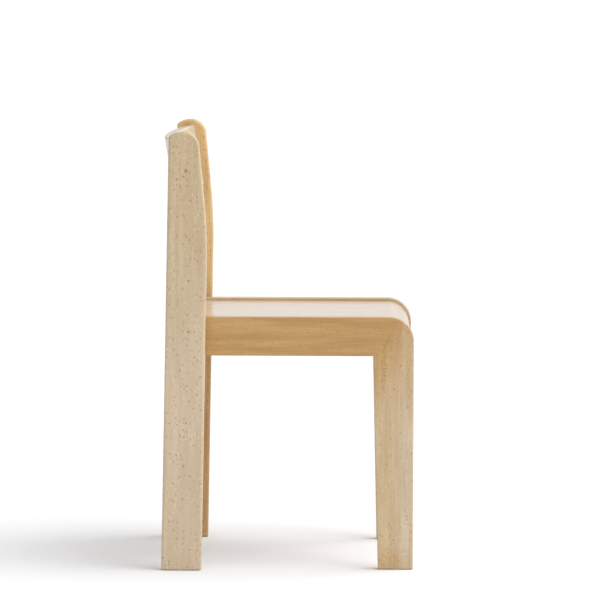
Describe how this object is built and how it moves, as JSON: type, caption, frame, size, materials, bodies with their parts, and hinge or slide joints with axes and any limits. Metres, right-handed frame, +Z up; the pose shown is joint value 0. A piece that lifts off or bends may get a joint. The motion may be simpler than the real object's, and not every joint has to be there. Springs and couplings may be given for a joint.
{
  "type": "choir chair",
  "caption": "Wooden choir chair: leaning posts, side frames with rounded finger-jointed corners, moulded seat with turned-down front and low curved back panel.",
  "frame": {"origin": "on the floor, at the middle of the chair's bounding box", "axes": "+Z up, -Y to the chair's front, +X to the sitter's left; the chair is symmetric across X = 0"},
  "size_m": [0.5, 0.4616, 0.8],
  "materials": {
    "beech_post": "pale flecked beech, clear satin lacquer",
    "beech_leg": "pale flecked beech, clear satin lacquer",
    "beech_rail": "warm brown beech with streaks, clear satin lacquer",
    "seat_plywood": "moulded beech plywood, clear satin lacquer",
    "back_beech": "bent beech, clear satin lacquer",
    "beech_hidden": "planed beech, sealed",
    "dowel_beech": "turned beech, unfinished",
    "screw_steel": "zinc plated",
    "glide_nylon": "moulded nylon, natural"
  },
  "bodies": {
    "root": {"post_right": "beech_post", "post_left": "beech_post", "side_rail_right": "beech_rail", "front_leg_right": "beech_leg", "side_rail_left": "beech_rail", "front_leg_left": "beech_leg", "seat_panel": "seat_plywood", "back_panel": "back_beech", "front_cross_rail": "beech_hidden", "rear_cross_rail": "beech_hidden", "corner_block_front_right": "beech_hidden", "corner_block_rear_right": "beech_hidden", "corner_block_front_left": "beech_hidden", "corner_block_rear_left": "beech_hidden", "lap_dowel_right_1": "dowel_beech", "lap_dowel_right_2": "dowel_beech", "rail_dowel_right_1": "dowel_beech", "rail_dowel_right_2": "dowel_beech", "rail_dowel_right_3": "dowel_beech", "rail_dowel_right_4": "dowel_beech", "back_dowel_right_1": "dowel_beech", "back_dowel_right_2": "dowel_beech", "back_dowel_right_3": "dowel_beech", "lap_dowel_left_1": "dowel_beech", "lap_dowel_left_2": "dowel_beech", "rail_dowel_left_1": "dowel_beech", "rail_dowel_left_2": "dowel_beech", "rail_dowel_left_3": "dowel_beech", "rail_dowel_left_4": "dowel_beech", "back_dowel_left_1": "dowel_beech", "back_dowel_left_2": "dowel_beech", "back_dowel_left_3": "dowel_beech", "lap_screw_right_1": "screw_steel", "lap_screw_right_2": "screw_steel", "lap_screw_left_1": "screw_steel", "lap_screw_left_2": "screw_steel", "block_screw_front_right_1": "screw_steel", "block_screw_front_right_2": "screw_steel", "block_screw_rear_right_1": "screw_steel", "block_screw_rear_right_2": "screw_steel", "block_screw_front_left_1": "screw_steel", "block_screw_front_left_2": "screw_steel", "block_screw_rear_left_1": "screw_steel", "block_screw_rear_left_2": "screw_steel", "seat_screw_front_right": "screw_steel", "seat_screw_rear_right": "screw_steel", "seat_screw_front_left": "screw_steel", "seat_screw_rear_left": "screw_steel", "glide_rear_right": "glide_nylon", "glide_front_right": "glide_nylon", "glide_rear_left": "glide_nylon", "glide_front_left": "glide_nylon"}
  },
  "joints": []
}
